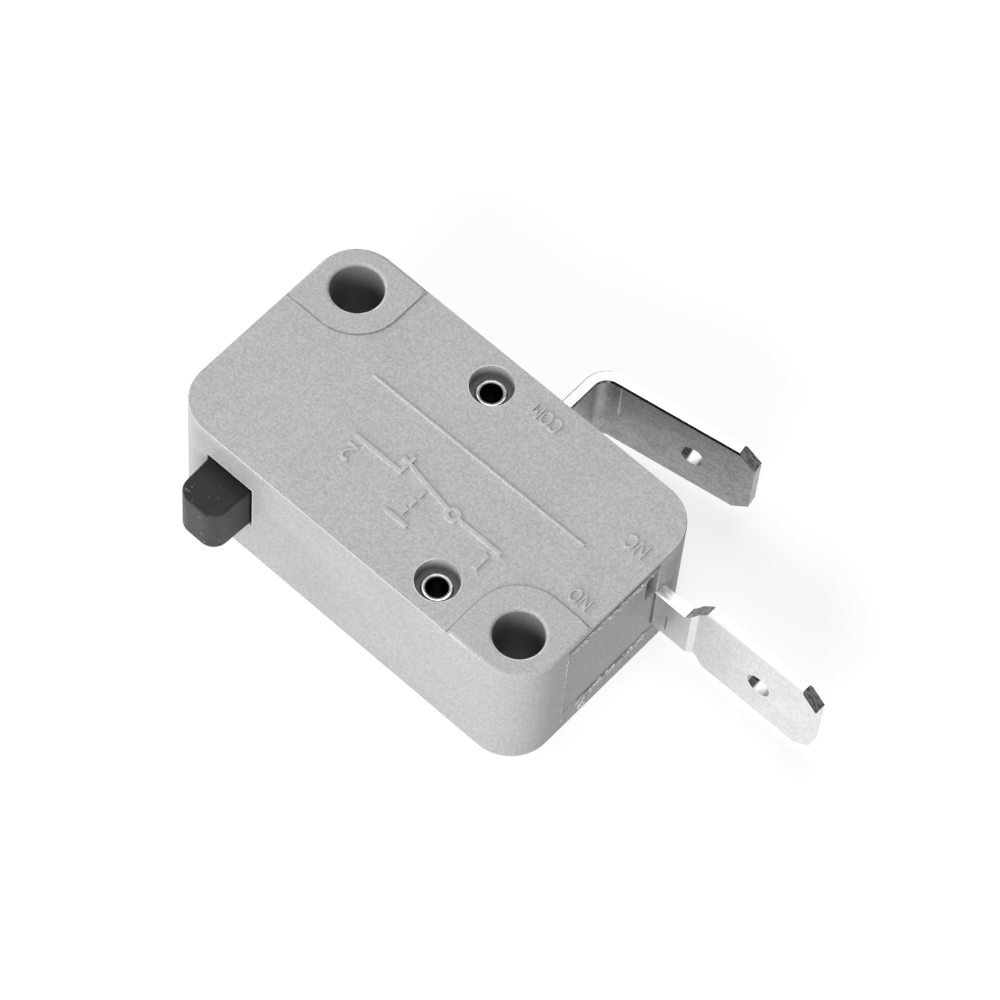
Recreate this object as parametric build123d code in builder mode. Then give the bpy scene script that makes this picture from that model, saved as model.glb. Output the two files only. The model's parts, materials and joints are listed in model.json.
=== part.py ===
from build123d import *
import os
from math import atan2, cos, degrees, radians, sin, tan

os.makedirs("parts", exist_ok=True)

# A snap-action micro switch in millimetres, lying on its back with the marked face up.
# X runs along the case, -Y is the plunger side, and the origin is between the fixing holes.

# Case
case_length = 27.8
case_width = 15.9
case_depth = 10.3
corner_radius = 2.8
face_wall = 1.45
side_wall = 1.3
end_wall = 1.3
rim_wall = 0.9
edge_round = 0.25
hole_inset = 2.8
hole_radius_a = 1.65
hole_radius_b = 1.55
hole_rim_round = 0.2
hole_boss_radius = 2.6
pad_radius = 3.1
pad_step = 0.1
past = 1.0  # how far a cutting shape reaches past what it cuts

# Cover that closes the back, with a tongue that fills the end window
cover_thickness = 1.4
cover_gap = 0.05
window_side = 3.95
window_past_terminal = 0.12
window_lip = 0.45
tongue_gap = 0.15
tongue_foot = 1.85
tongue_recess = 0.06
pocket_width = 1.0
pocket_depth = 0.7
pocket_height = 2.5

# Hollow rivets
eyelet_upper_x = -0.95
eyelet_lower_back = 8.5
eyelet_inset = 2.15
eyelet_radius = 0.8
eyelet_bore = 0.64
eyelet_rim = 0.98
eyelet_rim_height = 0.3
eyelet_foot = 1.25
eyelet_foot_height = 0.25
eyelet_foot_gap = 0.1
eyelet_gap = 0.03
round_margin = 0.02
eyelet_boss_radius = 1.7
eyelet_recess_radius = 1.37
eyelet_recess_depth = 1.1
eyelet_foot_recess = 0.45

# Plunger
plunger_inset = 4.97
plunger_width = 3.35
plunger_tip_width = 3.1
plunger_height = 4.05
plunger_rise = 0.425
plunger_out = 2.95
plunger_nose = 1.05
plunger_edge = 0.25
plunger_gap = 0.12
plunger_travel = 2.0
flange_width = 4.5
flange_height = 4.9
flange_length = 1.1
foot_inset = 4.8
foot_width = 2.0
foot_height = 2.6
foot_reach = 0.1

# Rocker under the plunger
rocker_x = -4.2
rocker_y = -1.4
rocker_tilt = 11.7
rocker_thickness = 1.6
rocker_width = 3.6
rocker_past_plunger = 0.8
rocker_hub = 1.25
hook_arm = 3.27
hook_lug = 0.62
fork_gap = 1.3
pin_radius = 0.6
pin_gap = 0.04
pin_depth = 0.35
hook_pin_radius = 0.3
socket_boss_radius = 1.3
socket_boss_height = 0.7

# Metal strip of the terminals, and the standard tab
strip = 0.8
tab_width = 6.3
tab_hole_radius = 0.82
tab_hole_back = 4.1
tip_length = 1.2
tip_drop = 1.05
tab_bevel = 0.12
slot_gap = 0.04

# Common terminal
common_x = 2.4
common_bend_radius = 0.9
common_bend_angle = 80.0
common_reach = 2.98
common_tab_length = 9.7
common_inner_end = -1.6
common_fork_depth = 3.7
common_fork_window = 3.6
groove_depth = 0.25
groove_flare = 1.6
knife_gap = 0.07

# Normally closed terminal
nc_inset = 4.17
nc_root_below = 2.325
nc_root_above = 1.475
nc_inner_width = 5.8
nc_inner_back = 1.9
nc_tab_out = 12.0
nc_neck_out = 2.3
nc_shoulder = 1.35
nc_lower_neck_out = 3.3
nc_lower_shoulder = 0.65
joggle_start = 2.75
joggle_length = 0.35
joggle_step = 0.26

# Contact lever and contacts
contact_inset = 3.8
contact_below_terminal = 1.393
lever_end_angle = 4.0
lever_swing = 8.05
lever_strip = 0.4
lever_bend_back = 1.9
lever_taper_back = 1.0
lever_tail = 1.5
lever_width = 6.1
lever_end_width = 3.4
lever_window_width = 3.0
knife_length = 0.35
hook_bar = 0.3
hook_back = 1.25
lever_bend_radius = 1.0
hook_hole_radius = 0.32
contact_radius = 1.4
contact_head = 0.65
contact_dome = 6.0
contact_shank = 0.7
shank_gap = 0.02
touch_gap = 0.02
fixed_head_radius = 1.5
fixed_back_radius = 1.1
fixed_back_height = 0.3
fixed_bevel = 0.15

# Snap spring
wire_radius = 0.15
coil_radius = 0.9
coil_turns = 8
wire_sides = 8
loop_radius = 0.5
coil_from_loop = 1.15
loop_cover = 280.0

# Ribs that hold the terminals and the stop
rib = 0.7
rib_length = 4.2
plate_rib_length = 1.4
rib_overlap = 0.6

# Stop in the empty normally open place
stop_pitch = 4.68
stop_pad_radius = 1.2
stop_thickness = 0.8

# Worked out from the sizes above
half_length = case_length / 2
half_width = case_width / 2
inner_x = half_length - end_wall
inner_y = half_width - side_wall
ceiling = case_depth - face_wall
hole_a = (-half_length + hole_inset, half_width - hole_inset)
hole_b = (half_length - hole_inset, -half_width + hole_inset)
eyelet_places = {
    "eyelet_upper": (eyelet_upper_x, half_width - eyelet_inset),
    "eyelet_lower": (half_length - eyelet_lower_back, -half_width + eyelet_inset),
}
eyelet_points = list(eyelet_places.values())
middle = (cover_thickness + ceiling) / 2
tab_low = middle - tab_width / 2
tab_high = middle + tab_width / 2
nc_face = half_width - nc_inset
nc_root_low = middle - nc_root_below
nc_root_high = middle + nc_root_above
plate_half = nc_inner_width / 2
nc_rib_low = nc_face - slot_gap - rib / 2
nc_rib_high = nc_face + strip + slot_gap + rib / 2
stop_rib_low = nc_face - stop_pitch - slot_gap - rib / 2
stop_rib_high = nc_face - stop_pitch + stop_thickness + slot_gap + rib / 2
window_low = -half_width + window_side
window_high = nc_face + window_past_terminal
window_middle = (window_low + window_high) / 2
window_width = window_high - window_low
window_top = case_depth - window_lip
tongue_top = window_top - tongue_gap
plunger_x = -half_length + plunger_inset
plunger_centre = middle + plunger_rise
plunger_low = plunger_centre - plunger_height / 2
foot_x = -half_length + foot_inset

# Knife edge of the contact lever, in the grooves of the common terminal
pivot_x = common_x + strip / 2 - groove_depth + knife_gap
pivot_y = 0.0
contact_x = half_length - contact_inset
contact_y = nc_face - contact_below_terminal
bend_x = contact_x - lever_bend_back
bend_y = contact_y - lever_bend_back * tan(radians(lever_end_angle))
lever_angle = degrees(atan2(bend_y - pivot_y, bend_x - pivot_x))
lever_run = (bend_x - pivot_x) / cos(radians(lever_angle))
lever_plane = Plane(
    origin=(pivot_x, pivot_y, middle),
    x_dir=(cos(radians(lever_angle)), sin(radians(lever_angle)), 0),
    z_dir=(-sin(radians(lever_angle)), cos(radians(lever_angle)), 0),
)
window_end = lever_run - hook_back
hook_along = window_end + hook_bar / 2
hook_x = pivot_x + hook_along * cos(radians(lever_angle))
hook_y = pivot_y + hook_along * sin(radians(lever_angle))

# Highest point of the closed contact's dome, and the lowest of the open one
dome_back = contact_dome - contact_head - lever_strip / 2
closed_y = contact_y - dome_back * cos(radians(lever_end_angle)) + contact_dome
arm_x = contact_x - pivot_x
arm_y = contact_y - pivot_y
open_x = pivot_x + arm_x * cos(radians(lever_swing)) + arm_y * sin(radians(lever_swing))
open_contact_y = pivot_y + arm_y * cos(radians(lever_swing)) - arm_x * sin(radians(lever_swing))
open_y = open_contact_y + dome_back * cos(radians(lever_swing - lever_end_angle)) - contact_dome
fixed_head = nc_face - closed_y - touch_gap

# Rocker's hook pin, and the plunger's foot on the other arm
rocker_slope = radians(rocker_tilt)
hook_pin_x = rocker_x + hook_arm * cos(rocker_slope)
hook_pin_y = rocker_y + hook_arm * sin(rocker_slope)
rocker_arm = rocker_x - foot_x
rocker_left = rocker_arm + rocker_past_plunger
rocker_face = rocker_y - rocker_arm * tan(rocker_slope) - rocker_thickness / 2 / cos(rocker_slope)
foot_end = rocker_face - foot_reach


def tab_tip(end, low, high):
    """Corner cuts of a tab whose end lies at the given distance along its own plane."""
    for side, drop in ((low, tip_drop), (high, -tip_drop)):
        with Locations((end, side)):
            Polygon((0, 0), (-tip_length, 0), (0, drop), align=None)


def boss_corners(radius):
    """Round bosses of both fixing holes, filled out to the case's corners."""
    for point in (hole_a, hole_b):
        with Locations(point):
            Circle(radius)
        toward = (1 if point[0] > 0 else -1, 1 if point[1] > 0 else -1)
        reach_x = half_length + past - abs(point[0])
        reach_y = half_width + past - abs(point[1])
        with Locations((point[0] + toward[0] * reach_x / 2, point[1] + toward[1] * (reach_y - radius) / 2)):
            Rectangle(reach_x, reach_y + radius)
        with Locations((point[0] + toward[0] * (reach_x - radius) / 2, point[1] + toward[1] * reach_y / 2)):
            Rectangle(reach_x + radius, reach_y)


def strip_ribs():
    """Pair of ribs beside the common terminal's strip, inside the wall it comes through."""
    for side in (-1, 1):
        with Locations((common_x + side * (strip / 2 + slot_gap + rib / 2), inner_y - rib_length / 2)):
            Rectangle(rib, rib_length)


def plate_ribs(*places):
    """Ribs inside the end wall, beside the inner plates of the end terminal and of the stop."""
    for place in places:
        with Locations((inner_x - plate_rib_length / 2, place)):
            Rectangle(plate_rib_length, rib)


# Housing: a deep moulded shell, open at the back
with BuildPart() as housing:
    with BuildSketch():
        RectangleRounded(case_length, case_width, corner_radius)
    extrude(amount=case_depth)
    fillet(housing.edges().group_by(Axis.Z)[-1], edge_round)
    # Marked face, a little below the two corner pads
    with BuildSketch(Plane.XY.offset(case_depth - pad_step)):
        Rectangle(case_length + 2 * past, case_width + 2 * past)
        for point in (hole_a, hole_b):
            toward = (1 if point[0] > 0 else -1, 1 if point[1] > 0 else -1)
            reach_x = half_length + 2 * past - abs(point[0]) + pad_radius
            reach_y = half_width + 2 * past - abs(point[1]) + pad_radius
            centre = (
                point[0] + toward[0] * (reach_x / 2 - pad_radius),
                point[1] + toward[1] * (reach_y / 2 - pad_radius),
            )
            with Locations(centre):
                RectangleRounded(reach_x, reach_y, pad_radius, mode=Mode.SUBTRACT)
    extrude(amount=pad_step + past, mode=Mode.SUBTRACT)
    # Working space, round the bosses
    with BuildSketch():
        RectangleRounded(2 * inner_x, 2 * inner_y, corner_radius - side_wall)
        with BuildSketch(mode=Mode.SUBTRACT):
            boss_corners(hole_boss_radius)
        with Locations(*eyelet_points):
            Circle(eyelet_boss_radius, mode=Mode.SUBTRACT)
    extrude(amount=ceiling, mode=Mode.SUBTRACT)
    # Rebate for the cover
    with BuildSketch():
        RectangleRounded(case_length - 2 * rim_wall, case_width - 2 * rim_wall, corner_radius - rim_wall)
        with BuildSketch(mode=Mode.SUBTRACT):
            boss_corners(hole_boss_radius)
    extrude(amount=cover_thickness, mode=Mode.SUBTRACT)
    # End window, under a lip of the marked face
    with BuildSketch(Plane.YZ.offset(inner_x)):
        with Locations((window_middle, window_top / 2)):
            Rectangle(window_width, window_top)
    extrude(amount=2 * end_wall, mode=Mode.SUBTRACT)
    # Slots that the two terminals drop into from the back
    with BuildSketch(Plane.YZ.offset(inner_x - past)):
        with Locations((nc_face + strip / 2, (nc_root_high + slot_gap) / 2)):
            Rectangle(strip + 2 * slot_gap, nc_root_high + slot_gap)
    extrude(amount=end_wall + 2 * past, mode=Mode.SUBTRACT)
    with BuildSketch(Plane.XZ.offset(-half_width - past)):
        with Locations((common_x, (tab_high + slot_gap) / 2)):
            Rectangle(strip + 2 * slot_gap, tab_high + slot_gap)
    extrude(amount=side_wall + 2 * past, mode=Mode.SUBTRACT)
    # Guide opening of the plunger
    with BuildSketch(Plane.XZ.offset(inner_y - past)):
        with Locations((plunger_x, plunger_centre)):
            Rectangle(plunger_width + 2 * plunger_gap, plunger_height + 2 * plunger_gap)
    extrude(amount=side_wall + 2 * past, mode=Mode.SUBTRACT)
    # Ribs on the ceiling that hold the common terminal, the other terminal and the stop
    with BuildSketch(Plane.XY.offset(tab_high - rib_overlap)):
        strip_ribs()
    extrude(amount=ceiling - tab_high + rib_overlap)
    with BuildSketch(Plane.XY.offset(middle + plate_half - rib_overlap)):
        plate_ribs(stop_rib_low, stop_rib_high, nc_rib_low, nc_rib_high)
    extrude(amount=ceiling - middle - plate_half + rib_overlap)
    # Bearing boss of the rocker's pin
    with BuildSketch(Plane.XY.offset(ceiling - socket_boss_height)):
        with Locations((rocker_x, rocker_y)):
            Circle(socket_boss_radius)
    extrude(amount=socket_boss_height)
    with Locations((rocker_x, rocker_y, ceiling - socket_boss_height)):
        Cylinder(
            pin_radius + pin_gap / 2,
            socket_boss_height + pin_depth,
            align=(Align.CENTER, Align.CENTER, Align.MIN),
            mode=Mode.SUBTRACT,
        )
    # Fixing holes, with their upper rims rounded
    for point, radius in ((hole_a, hole_radius_a), (hole_b, hole_radius_b)):
        with Locations((*point, case_depth)):
            Hole(radius)
    circles = housing.edges().filter_by(GeomType.CIRCLE)
    rims = circles.filter_by_position(Axis.Z, case_depth - round_margin, case_depth + round_margin)
    fillet(rims.filter_by(lambda rim: rim.radius < (hole_radius_a + hole_boss_radius) / 2), hole_rim_round)
    # Hollow rivets' holes, sunk below the marked face
    with Locations(*[(*point, case_depth - pad_step) for point in eyelet_points]):
        CounterBoreHole(eyelet_radius + eyelet_gap, eyelet_recess_radius, eyelet_recess_depth)
housing.part.label = "housing"
export_step(housing.part, "parts/housing.step")

# Back cover: a plate inset in the open back, with lugs in the terminals' slots and the end tongue
with BuildPart() as back_cover:
    with BuildSketch():
        RectangleRounded(
            case_length - 2 * rim_wall - 2 * cover_gap,
            case_width - 2 * rim_wall - 2 * cover_gap,
            corner_radius - rim_wall - cover_gap,
        )
        with BuildSketch(mode=Mode.SUBTRACT):
            boss_corners(hole_boss_radius + cover_gap)
    extrude(amount=cover_thickness)
    # Foot of the end window, as wide as the window and the terminal's slot together
    foot_low = window_low + cover_gap
    foot_high = nc_face + strip + slot_gap - cover_gap
    foot_top = nc_root_low - slot_gap
    with BuildSketch():
        with Locations(((inner_x + half_length) / 2, (foot_low + foot_high) / 2)):
            Rectangle(end_wall, foot_high - foot_low)
    extrude(amount=tongue_foot)
    # Tongue, its face a little behind the end wall
    with BuildSketch():
        with Locations(((inner_x + half_length - tongue_recess) / 2, window_middle)):
            Rectangle(end_wall - tongue_recess, window_width - 2 * cover_gap)
    extrude(amount=tongue_top)
    # Lug that closes the terminal's slot below its root
    with BuildSketch():
        with Locations(((inner_x + half_length - tongue_recess) / 2, (window_middle + foot_high) / 2)):
            Rectangle(end_wall - tongue_recess, foot_high - window_middle)
    extrude(amount=foot_top)
    # Room for the terminal's root, and the pocket above it
    root_height = nc_root_high - nc_root_low + 2 * slot_gap
    with BuildSketch(Plane.YZ.offset(inner_x - past)):
        with Locations((nc_face - slot_gap + strip / 2, foot_top + root_height / 2)):
            Rectangle(strip, root_height)
    extrude(amount=end_wall + 2 * past, mode=Mode.SUBTRACT)
    with BuildSketch(Plane.YZ.offset(half_length - pocket_depth)):
        with Locations((window_high - pocket_width / 2, foot_top + root_height + pocket_height / 2)):
            Rectangle(pocket_width, pocket_height)
    extrude(amount=pocket_depth + past, mode=Mode.SUBTRACT)
    # Lug below the common terminal
    with BuildSketch():
        with Locations((common_x, (inner_y + half_width) / 2)):
            Rectangle(strip + 2 * slot_gap - 2 * cover_gap, side_wall)
    extrude(amount=tab_low - slot_gap)
    # Ribs that hold the terminals and the stop from below
    with BuildSketch(Plane.XY.offset(cover_thickness)):
        strip_ribs()
    extrude(amount=tab_low + rib_overlap - cover_thickness)
    with BuildSketch(Plane.XY.offset(cover_thickness)):
        plate_ribs(stop_rib_high, nc_rib_low, nc_rib_high)
    extrude(amount=middle - plate_half + rib_overlap - cover_thickness)
    # Bearing boss of the rocker's pin
    with BuildSketch(Plane.XY.offset(cover_thickness)):
        with Locations((rocker_x, rocker_y)):
            Circle(socket_boss_radius)
    extrude(amount=socket_boss_height)
    with Locations((rocker_x, rocker_y, cover_thickness + socket_boss_height)):
        Cylinder(
            pin_radius + pin_gap / 2,
            socket_boss_height + pin_depth,
            align=(Align.CENTER, Align.CENTER, Align.MAX),
            mode=Mode.SUBTRACT,
        )
    # Hollow rivets' holes, sunk from the back
    for point in eyelet_points:
        with Locations(Plane(origin=(*point, 0), z_dir=(0, 0, -1))):
            CounterBoreHole(eyelet_radius + eyelet_gap, eyelet_foot + eyelet_foot_gap, eyelet_foot_recess)
back_cover.part.label = "back_cover"
export_step(back_cover.part, "parts/back_cover.step")

# Hollow rivets, spread at the back and curled over in the face's recess
rim_seat = case_depth - pad_step - eyelet_recess_depth
for name, point in eyelet_places.items():
    with BuildPart() as eyelet:
        with BuildSketch(Plane.XZ):
            with Locations(((eyelet_bore + eyelet_radius) / 2, (eyelet_foot_recess + rim_seat) / 2)):
                Rectangle(eyelet_radius - eyelet_bore, rim_seat - eyelet_foot_recess + eyelet_rim_height)
            with Locations(((eyelet_bore + eyelet_foot) / 2, eyelet_foot_recess - eyelet_foot_height / 2)):
                Rectangle(eyelet_foot - eyelet_bore, eyelet_foot_height)
            with Locations(((eyelet_bore + eyelet_rim) / 2, rim_seat + eyelet_rim_height / 2)):
                Rectangle(eyelet_rim - eyelet_bore, eyelet_rim_height)
        revolve(axis=Axis.Z)
        curl = eyelet.faces().sort_by(Axis.Z)[-1].edges()
        fillet(curl, (eyelet_rim - eyelet_bore) / 2 - round_margin)
    eyelet.part.label = name
    eyelet.part.locate(Location((*point, 0)))
    export_step(eyelet.part, f"parts/{name}.step")

# Plunger: square stem with a rounded end, a flange that stops it, and a foot with a round nose
stem_end = -inner_y + cover_gap
plunger_tip = -half_width - plunger_out
with BuildPart() as plunger:
    with BuildSketch(Plane.XY.offset(plunger_low)):
        with BuildLine():
            stem = FilletPolyline(
                (plunger_x - plunger_width / 2, stem_end),
                (plunger_x - plunger_width / 2, -half_width),
                (plunger_x - plunger_tip_width / 2, plunger_tip),
                (plunger_x + plunger_tip_width / 2, plunger_tip),
                (plunger_x + plunger_width / 2, -half_width),
                (plunger_x + plunger_width / 2, stem_end),
                radius=plunger_nose,
            )
            Line(stem @ 0, stem @ 1)
        make_face()
    extrude(amount=plunger_height)
    outline = plunger.edges().group_by(Axis.Z)[0] + plunger.edges().group_by(Axis.Z)[-1]
    fillet(outline.sort_by(Axis.Y)[:-2], plunger_edge)
    with BuildSketch(Plane.XY.offset(plunger_centre - flange_height / 2)):
        with Locations((plunger_x, stem_end + flange_length / 2)):
            Rectangle(flange_width, flange_length)
    extrude(amount=flange_height)
    with BuildSketch(Plane.XY.offset(plunger_centre - foot_height / 2)):
        with BuildLine():
            Polyline(
                (foot_x + foot_width / 2, foot_end - foot_width / 2),
                (foot_x + foot_width / 2, stem_end + flange_length),
                (foot_x - foot_width / 2, stem_end + flange_length),
                (foot_x - foot_width / 2, foot_end - foot_width / 2),
            )
            ThreePointArc(
                (foot_x - foot_width / 2, foot_end - foot_width / 2),
                (foot_x, foot_end),
                (foot_x + foot_width / 2, foot_end - foot_width / 2),
            )
        make_face()
    extrude(amount=foot_height)
plunger.part.label = "plunger"
export_step(plunger.part, "parts/plunger.step")

# Rocker: moulded lever with a fork for the spring's loop
rocker_plane = Plane(
    origin=(rocker_x, rocker_y, middle),
    x_dir=(cos(rocker_slope), sin(rocker_slope), 0),
    z_dir=(0, 0, 1),
)
with BuildPart() as actuating_rocker:
    with BuildSketch(rocker_plane):
        Circle(rocker_hub)
        with Locations((-rocker_left / 2, 0)):
            SlotOverall(rocker_left + rocker_thickness, rocker_thickness)
        with Locations((hook_arm / 2, 0)):
            SlotOverall(hook_arm + 2 * hook_lug, 2 * hook_lug)
    extrude(amount=rocker_width / 2, both=True)
    with BuildSketch(rocker_plane):
        with Locations((hook_arm, 0)):
            Rectangle(2 * (loop_radius + 3 * wire_radius), 4 * hook_lug)
    extrude(amount=fork_gap / 2, both=True, mode=Mode.SUBTRACT)
    with BuildSketch(rocker_plane):
        Circle(pin_radius + pin_gap)
        with Locations((hook_arm, 0)):
            Circle(hook_pin_radius + pin_gap / 2)
    extrude(amount=rocker_width, both=True, mode=Mode.SUBTRACT)
actuating_rocker.part.label = "actuating_rocker"
export_step(actuating_rocker.part, "parts/actuating_rocker.step")

# Steel pins: the rocker's axle, and the one that the spring hooks round
with BuildPart() as rocker_pin:
    with BuildSketch(Plane.XY.offset(cover_thickness - pin_depth + pin_gap / 2)):
        with Locations((rocker_x, rocker_y)):
            Circle(pin_radius)
    extrude(amount=ceiling - cover_thickness + 2 * pin_depth - pin_gap)
    chamfer(rocker_pin.edges(), pin_radius / 6)
rocker_pin.part.label = "rocker_pin"
export_step(rocker_pin.part, "parts/rocker_pin.step")

with BuildPart() as hook_pin:
    with BuildSketch(Plane.XY.offset(middle - rocker_width / 2 + pin_gap)):
        with Locations((hook_pin_x, hook_pin_y)):
            Circle(hook_pin_radius)
    extrude(amount=rocker_width - 2 * pin_gap)
hook_pin.part.label = "hook_pin"
export_step(hook_pin.part, "parts/hook_pin.step")

# Contact lever: forked strip with two knife edges, bent flat where it carries the contact
lever_end = (contact_x + lever_tail, contact_y + lever_tail * tan(radians(lever_end_angle)))
knife = (
    pivot_x + knife_length * cos(radians(lever_angle)),
    pivot_y + knife_length * sin(radians(lever_angle)),
)
end_plane = Plane(
    origin=(contact_x, contact_y, middle),
    x_dir=(cos(radians(lever_end_angle)), sin(radians(lever_end_angle)), 0),
    z_dir=(-sin(radians(lever_end_angle)), cos(radians(lever_end_angle)), 0),
)
with BuildPart() as contact_lever:
    with BuildSketch(Plane.XY.offset(middle)):
        with BuildLine():
            FilletPolyline(knife, (bend_x, bend_y), lever_end, radius=lever_bend_radius)
        trace(line_width=lever_strip)
        with Locations(Location((pivot_x, pivot_y, 0), (0, 0, lever_angle))):
            Polygon((0, 0), (knife_length, -lever_strip / 2), (knife_length, lever_strip / 2), align=None)
    extrude(amount=lever_width / 2, both=True)
    # Seen square on: wide fork, then a taper to the contact
    with BuildSketch(Plane.XZ):
        with BuildLine():
            Polyline(
                (pivot_x - past, middle - lever_width / 2),
                (hook_x - lever_taper_back, middle - lever_width / 2),
                (bend_x, middle - lever_end_width / 2),
                (lever_end[0] + past, middle - lever_end_width / 2),
                (lever_end[0] + past, middle + lever_end_width / 2),
                (bend_x, middle + lever_end_width / 2),
                (hook_x - lever_taper_back, middle + lever_width / 2),
                (pivot_x - past, middle + lever_width / 2),
                close=True,
            )
        make_face()
    extrude(amount=case_width, both=True, mode=Mode.INTERSECT)
    # Window that the spring lies in, the hole its loop passes, and the contact's hole
    with BuildSketch(lever_plane):
        with Locations((window_end / 2 - past, 0)):
            Rectangle(window_end + 2 * past, lever_window_width)
        with Locations((window_end + hook_bar + hook_hole_radius, 0)):
            Circle(hook_hole_radius)
    extrude(amount=lever_strip, both=True, mode=Mode.SUBTRACT)
    with BuildSketch(end_plane):
        Circle(contact_shank + shank_gap)
    extrude(amount=lever_strip, both=True, mode=Mode.SUBTRACT)
contact_lever.part.label = "contact_lever"
export_step(contact_lever.part, "parts/contact_lever.step")

# Moving contact: rivet with a domed head on each face of the lever
dome_drop = contact_dome - (contact_dome**2 - contact_radius**2) ** 0.5
dome_half_drop = contact_dome - (contact_dome**2 - contact_radius**2 / 4) ** 0.5
head_outer = lever_strip / 2 + contact_head
profile_plane = Plane(origin=end_plane.origin, x_dir=end_plane.x_dir, z_dir=(0, 0, 1))
with BuildPart() as moving_contact:
    with BuildSketch(profile_plane):
        with BuildLine():
            Polyline(
                (0, -head_outer),
                (0, head_outer),
            )
            ThreePointArc(
                (0, head_outer),
                (contact_radius / 2, head_outer - dome_half_drop),
                (contact_radius, head_outer - dome_drop),
            )
            Polyline(
                (contact_radius, head_outer - dome_drop),
                (contact_radius, lever_strip / 2),
                (contact_shank, lever_strip / 2),
                (contact_shank, -lever_strip / 2),
                (contact_radius, -lever_strip / 2),
                (contact_radius, -head_outer + dome_drop),
            )
            ThreePointArc(
                (contact_radius, -head_outer + dome_drop),
                (contact_radius / 2, -head_outer + dome_half_drop),
                (0, -head_outer),
            )
        make_face()
    revolve(axis=Axis(end_plane.origin, end_plane.z_dir))
moving_contact.part.label = "moving_contact"
export_step(moving_contact.part, "parts/moving_contact.step")

# Tension spring: a loop round the rocker's pin, the coil, and a loop round the lever's bar
spring_run = Vector(hook_x - hook_pin_x, hook_y - hook_pin_y)
coil_end = spring_run.length - coil_from_loop
spring_plane = Plane(
    origin=(hook_pin_x, hook_pin_y, middle),
    x_dir=(-spring_run.Y, spring_run.X, 0),
    z_dir=spring_run,
)


def loop_point(centre, angle):
    """Point of an end loop, whose middle lies at the given distance along the spring."""
    return (loop_radius * cos(radians(angle)), 0, centre + loop_radius * sin(radians(angle)))


with BuildPart() as snap_spring:
    with BuildLine() as spring_path:
        near_loop = ThreePointArc(
            loop_point(0, -loop_cover),
            loop_point(0, -loop_cover / 2),
            loop_point(0, 0),
        )
        coil = Helix(
            pitch=(coil_end - coil_from_loop) / coil_turns,
            height=coil_end - coil_from_loop,
            radius=coil_radius,
            center=(0, 0, coil_from_loop),
        )
        far_loop = ThreePointArc(
            loop_point(spring_run.length, 0),
            loop_point(spring_run.length, loop_cover / 2),
            loop_point(spring_run.length, loop_cover),
        )
        Spline(near_loop @ 1, coil @ 0, tangents=(near_loop % 1, coil % 0))
        Spline(coil @ 1, far_loop @ 0, tangents=(coil % 1, far_loop % 0))
    with BuildSketch(Plane(origin=near_loop @ 0, z_dir=near_loop % 0)):
        RegularPolygon(wire_radius, wire_sides)
    sweep()
snap_spring.part.locate(spring_plane.location)
snap_spring.part.label = "snap_spring"
export_step(snap_spring.part, "parts/snap_spring.step")

# Common terminal: forked strip, bent outside the case into a tab
bend_start = half_width + common_reach
bend_centre = (common_x + strip / 2 + common_bend_radius, bend_start)
tab_heading = radians(90 - common_bend_angle)
tab_start = (
    bend_centre[0] - common_bend_radius * sin(tab_heading),
    bend_centre[1] + common_bend_radius * cos(tab_heading),
)
common_tab_plane = Plane(
    origin=(*tab_start, middle),
    x_dir=(cos(tab_heading), sin(tab_heading), 0),
    z_dir=(-sin(tab_heading), cos(tab_heading), 0),
)
with BuildPart() as common_terminal:
    with BuildSketch(Plane.XY.offset(tab_low)):
        with Locations((common_x, (common_inner_end + bend_start) / 2)):
            Rectangle(strip, bend_start - common_inner_end)
        with BuildLine():
            inner = CenterArc(bend_centre, common_bend_radius, 180, -common_bend_angle)
            outer = CenterArc(bend_centre, common_bend_radius + strip, 180, -common_bend_angle)
            Line(inner @ 0, outer @ 0)
            Line(inner @ 1, outer @ 1)
        make_face()
        with BuildLine():
            near = Line(inner @ 1, inner @ 1 + (inner % 1) * common_tab_length)
            far = Line(outer @ 1, outer @ 1 + (inner % 1) * common_tab_length)
            Line(near @ 0, far @ 0)
            Line(near @ 1, far @ 1)
        make_face()
    extrude(amount=tab_width)
    tab_long_edges = common_terminal.edges().filter_by(
        lambda edge: abs((edge % 0.5).dot(common_tab_plane.x_dir)) > 0.999
    )
    chamfer(tab_long_edges, tab_bevel)
    with BuildSketch(common_tab_plane):
        tab_tip(common_tab_length, -tab_width / 2, tab_width / 2)
        with Locations((common_tab_length - tab_hole_back, 0)):
            Circle(tab_hole_radius)
    extrude(amount=2 * strip, both=True, mode=Mode.SUBTRACT)
    # Fork that the spring passes, and the grooves for the lever's knife edges
    with BuildSketch(Plane.YZ.offset(common_x)):
        with Locations((common_inner_end + common_fork_depth / 2 - past, middle)):
            Rectangle(common_fork_depth + 2 * past, common_fork_window)
    extrude(amount=strip, both=True, mode=Mode.SUBTRACT)
    with BuildSketch(Plane.XY):
        with Locations((common_x + strip / 2, pivot_y)):
            groove_half = groove_flare * groove_depth
            Polygon((0, -groove_half), (-groove_depth, 0), (0, groove_half), align=None)
    extrude(amount=case_depth, mode=Mode.SUBTRACT)
common_terminal.part.label = "common_terminal"
export_step(common_terminal.part, "parts/common_terminal.step")

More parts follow.
